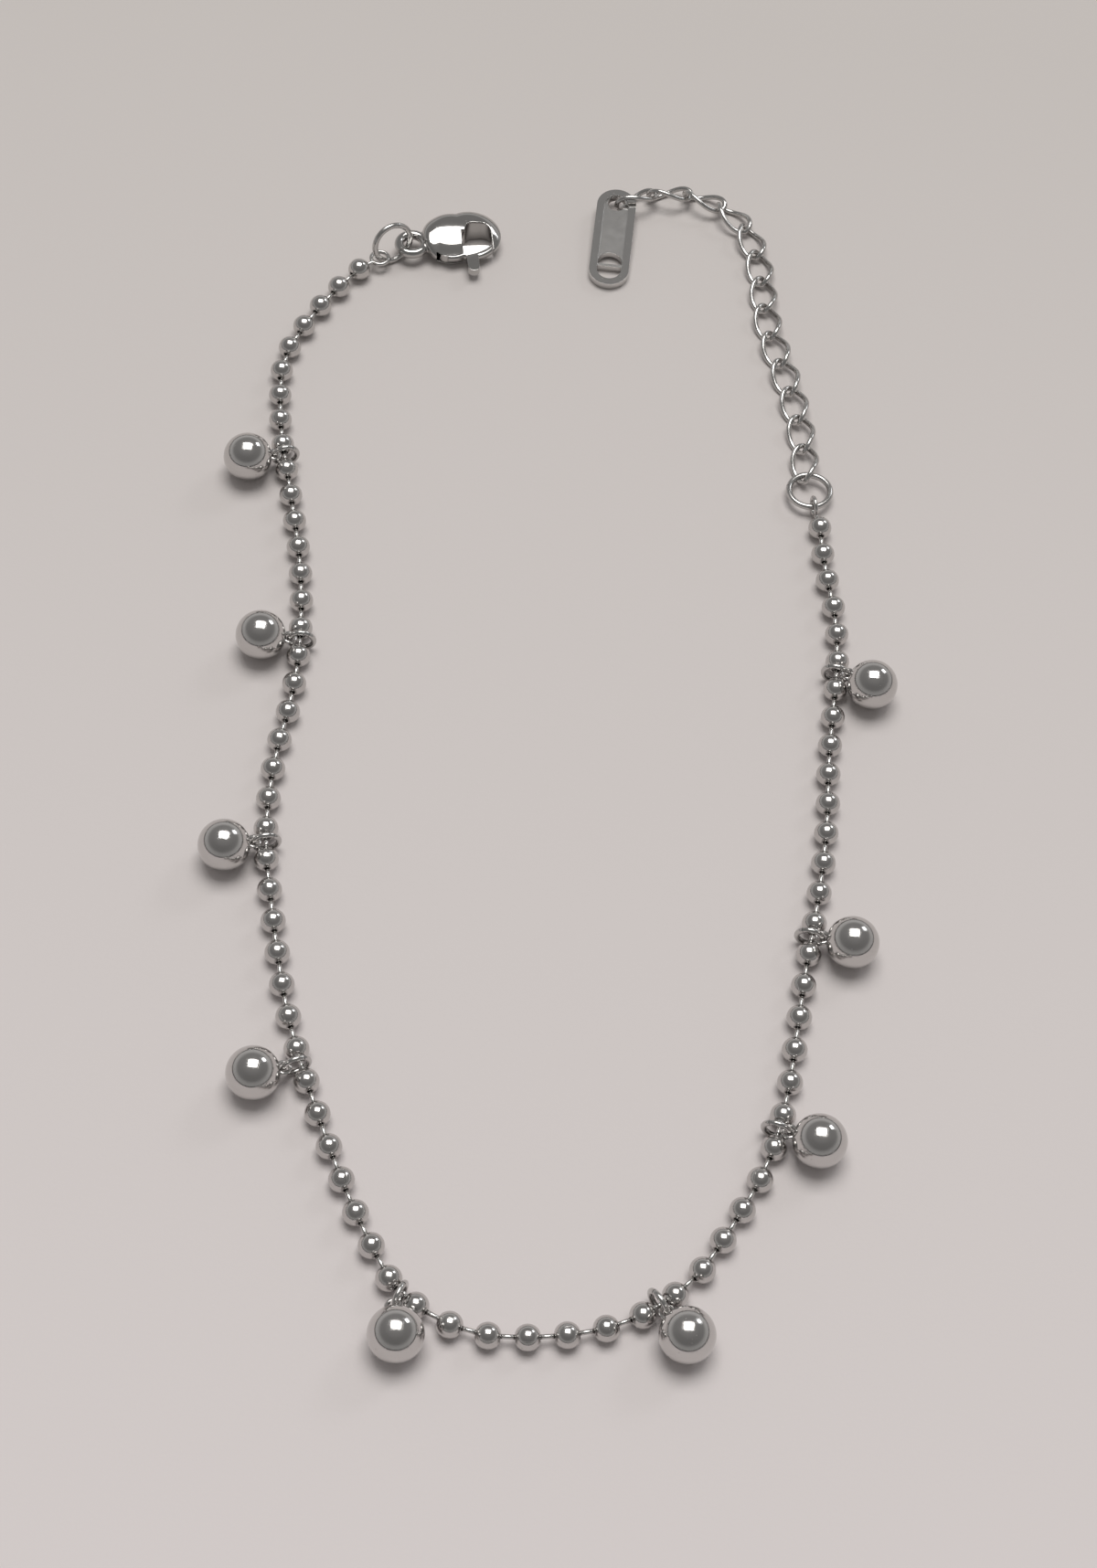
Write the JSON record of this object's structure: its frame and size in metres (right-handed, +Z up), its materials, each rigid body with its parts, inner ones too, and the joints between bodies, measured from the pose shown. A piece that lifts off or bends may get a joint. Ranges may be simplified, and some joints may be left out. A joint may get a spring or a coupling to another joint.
{
  "type": "chain anklet",
  "caption": "Open chain anklet of polished steel: a ball chain with large ball charms on jump rings, a lobster clasp at one end and a twisted link extender with an end tag at the other.",
  "frame": {"origin": "centre of the bottom of the bounding box, on the surface that the anklet lies on", "axes": "+Y runs along the anklet towards the clasp and the tag, +X to the tag's side, +Z up from the surface"},
  "size_m": [0.0706, 0.1432, 0.005],
  "materials": {
    "bead_steel": "polished stainless steel",
    "ball_steel": "polished stainless steel",
    "wire_steel": "bright drawn stainless steel wire",
    "clasp_steel": "tumbled cast stainless steel",
    "tag_steel": "stamped stainless steel, satin panel and polished rim"
  },
  "bodies": {
    "anklet": {"ball_chain_beads": "bead_steel", "ball_chain_pins": "wire_steel", "charm_1": "ball_steel", "charm_2": "ball_steel", "charm_3": "ball_steel", "charm_4": "ball_steel", "charm_5": "ball_steel", "charm_6": "ball_steel", "charm_7": "ball_steel", "charm_8": "ball_steel", "charm_9": "ball_steel", "charm_ring_1": "wire_steel", "charm_ring_2": "wire_steel", "charm_ring_3": "wire_steel", "charm_ring_4": "wire_steel", "charm_ring_5": "wire_steel", "charm_ring_6": "wire_steel", "charm_ring_7": "wire_steel", "charm_ring_8": "wire_steel", "charm_ring_9": "wire_steel", "clasp_body": "clasp_steel", "clasp_end_eye": "wire_steel", "clasp_ring": "wire_steel", "extender_end_eye": "wire_steel", "extender_link_01": "wire_steel", "extender_link_02": "wire_steel", "extender_link_03": "wire_steel", "extender_link_04": "wire_steel", "extender_link_05": "wire_steel", "extender_link_06": "wire_steel", "extender_link_07": "wire_steel", "extender_link_08": "wire_steel", "extender_link_09": "wire_steel", "extender_link_10": "wire_steel", "extender_link_11": "wire_steel", "extender_link_12": "wire_steel", "extender_link_13": "wire_steel", "extender_ring": "wire_steel", "tag": "tag_steel"},
    "lever": {"clasp_lever": "clasp_steel"}
  },
  "joints": [
    {"name": "lever_hinge", "type": "hinge", "parent": "anklet", "child": "lever", "pos_m": [-0.01543, 0.05788, 0.0015], "axis": [0, 0, 1], "range_deg": [0, 25], "stiffness_Nm_per_rad": 0.01, "springref_deg": -8.59}
  ]
}
